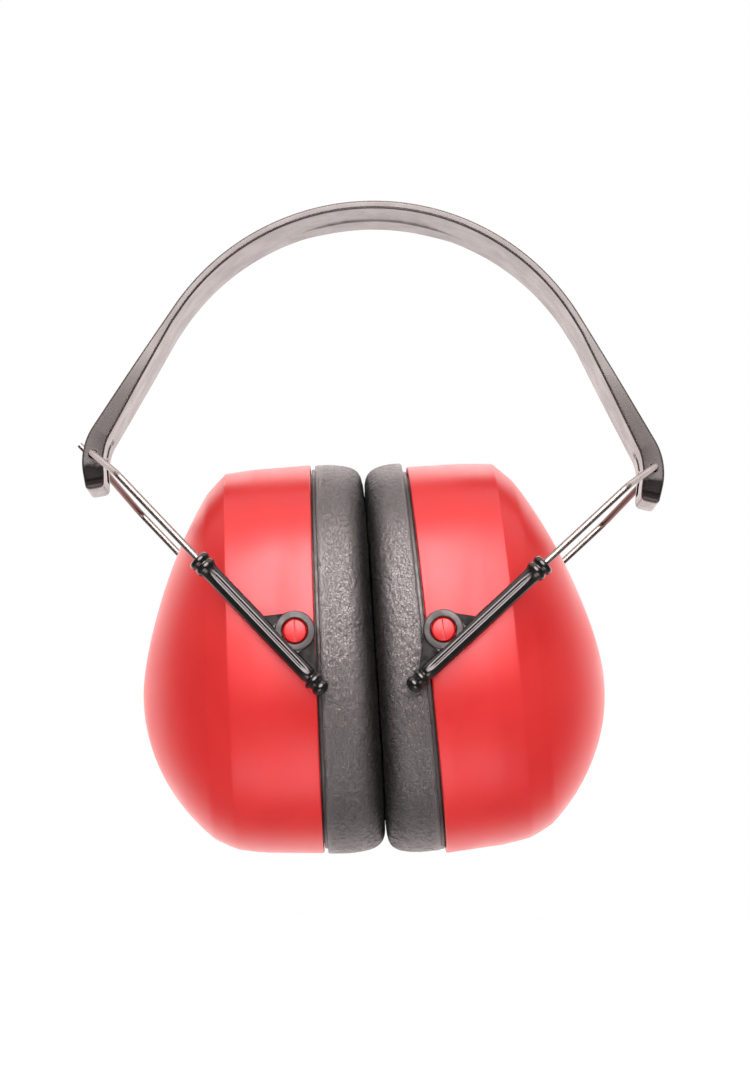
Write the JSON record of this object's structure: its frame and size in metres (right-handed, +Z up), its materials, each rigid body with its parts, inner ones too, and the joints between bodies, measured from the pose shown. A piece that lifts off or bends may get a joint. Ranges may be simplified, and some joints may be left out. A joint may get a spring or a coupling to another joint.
{
  "type": "hearing protection earmuffs",
  "caption": "Over-the-head hearing-protection earmuffs: springy band, pivoting wire yokes, sliding wire guides, tilting hard cups and soft ring cushions.",
  "frame": {"origin": "middle of the small flat under the crown of the headband, where it rests on the head or on a hanging peg", "axes": "+Z up out of the crown, +X toward the cup drawn on the right, +Y away from the viewer, parallel to the yoke pivots and the cup studs"},
  "size_m": [0.1595, 0.0916, 0.1751],
  "materials": {
    "band_plastic": "black moulded plastic, smooth with a soft sheen",
    "yoke_steel": "bright drawn steel wire",
    "black_plastic": "black moulded plastic, glossy",
    "cup_red": "red moulded plastic, smooth satin",
    "plate_black": "black moulded plastic, matte",
    "cushion_film": "soft black leather-look film with fine wrinkles",
    "cushion_foam_grey": "grey open-cell foam",
    "acoustic_foam_dark": "dark open-cell acoustic foam"
  },
  "bodies": {
    "headband": {"headband": "band_plastic"},
    "left_yoke": {"left_wire_yoke": "yoke_steel"},
    "left_guides": {"left_front_wire_guide": "black_plastic", "left_rear_wire_guide": "black_plastic"},
    "left_cup": {"left_cup_shell": "cup_red", "left_acoustic_foam": "acoustic_foam_dark", "left_cushion_plate": "plate_black", "left_cushion_cover": "cushion_film", "left_cushion_foam": "cushion_foam_grey"},
    "right_yoke": {"right_wire_yoke": "yoke_steel"},
    "right_guides": {"right_front_wire_guide": "black_plastic", "right_rear_wire_guide": "black_plastic"},
    "right_cup": {"right_cup_shell": "cup_red", "right_acoustic_foam": "acoustic_foam_dark", "right_cushion_plate": "plate_black", "right_cushion_cover": "cushion_film", "right_cushion_foam": "cushion_foam_grey"}
  },
  "joints": [
    {"name": "left_yoke_swing", "type": "hinge", "parent": "headband", "child": "left_yoke", "pos_m": [-0.075, 0, -0.0681], "axis": [0, 1, 0], "range_deg": [0, 40]},
    {"name": "left_guide_slide", "type": "slide", "parent": "left_yoke", "child": "left_guides", "axis": [-0.7071, 0, 0.7071], "range_m": [0, 0.02]},
    {"name": "left_cup_tilt", "type": "hinge", "parent": "left_guides", "child": "left_cup", "pos_m": [-0.019, 0, -0.11675], "axis": [0, -1, 0], "range_deg": [-10, 10], "deforming": ["left_cushion_cover", "left_cushion_foam"]},
    {"name": "right_yoke_swing", "type": "hinge", "parent": "headband", "child": "right_yoke", "pos_m": [0.075, 0, -0.0681], "axis": [0, -1, 0], "range_deg": [0, 40]},
    {"name": "right_guide_slide", "type": "slide", "parent": "right_yoke", "child": "right_guides", "axis": [0.7157, 0, 0.6984], "range_m": [0, 0.02]},
    {"name": "right_cup_tilt", "type": "hinge", "parent": "right_guides", "child": "right_cup", "pos_m": [0.01905, 0, -0.11543], "axis": [0, 1, 0], "range_deg": [-10, 10], "deforming": ["right_cushion_cover", "right_cushion_foam"]}
  ]
}
